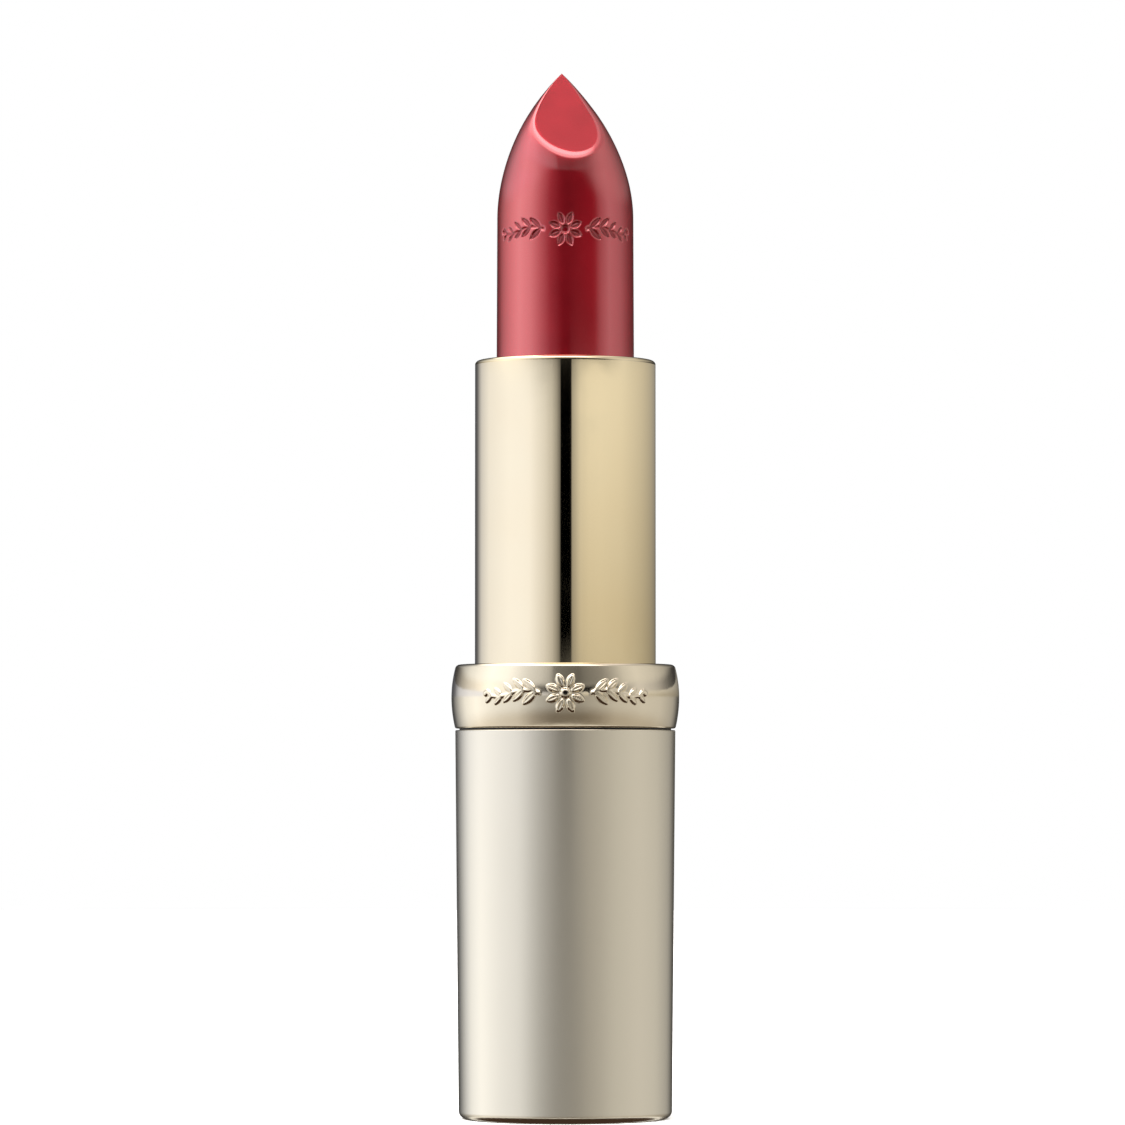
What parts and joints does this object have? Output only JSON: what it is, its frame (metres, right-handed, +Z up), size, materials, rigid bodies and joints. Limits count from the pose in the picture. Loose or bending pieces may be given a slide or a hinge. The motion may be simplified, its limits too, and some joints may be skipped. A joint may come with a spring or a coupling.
{
  "type": "lipstick case",
  "caption": "Swivel lipstick without its cap: tapered satin base, embossed collar and polished sleeve; turning the sleeve winds the wax bullet in and out.",
  "frame": {"origin": "centre of the standing face under the base, on the case's axis", "axes": "+Z up the axis of the case towards the bullet's tip; the bullet's slanted facet faces -Y, turned a little to +X"},
  "size_m": [0.02, 0.02, 0.092],
  "materials": {
    "champagne_aluminium": "satin, champagne anodised, fine circular grain",
    "polished_gold_aluminium": "mirror polished, pale gold anodised",
    "gold_collar": "vacuum metallised, polished pale gold",
    "black_plastic": "moulded, satin",
    "ivory_plastic": "natural ivory, moulded satin",
    "weight_steel": "stamped, zinc plated",
    "silicone": "moulded silicone",
    "label_paper": "coated paper, plain shade colour",
    "lipstick_wax": "glossy moulded wax, crimson with a fine pearl"
  },
  "bodies": {
    "base": {"base_shell": "champagne_aluminium", "shade_label": "label_paper", "base_weight": "weight_steel", "base_insert": "black_plastic", "collar_ring": "gold_collar", "guide_tube": "ivory_plastic", "friction_ring": "silicone"},
    "sleeve": {"cam_sleeve": "ivory_plastic", "sleeve_shell": "polished_gold_aluminium"},
    "carrier": {"bullet_cup": "ivory_plastic", "lipstick_bullet": "lipstick_wax"}
  },
  "joints": [
    {"name": "sleeve_turn", "type": "hinge", "parent": "base", "child": "sleeve", "pos_m": [0, 0, 0], "axis": [0, 0, 1], "range_deg": [0, 540]},
    {"name": "cup_lift", "type": "slide", "parent": "base", "child": "carrier", "axis": [0, 0, 1], "range_m": [-0.027, 0]}
  ],
  "couplings": [
    {"joint": "sleeve_turn", "follows": "cup_lift", "rad_per_m": -349.07}
  ]
}
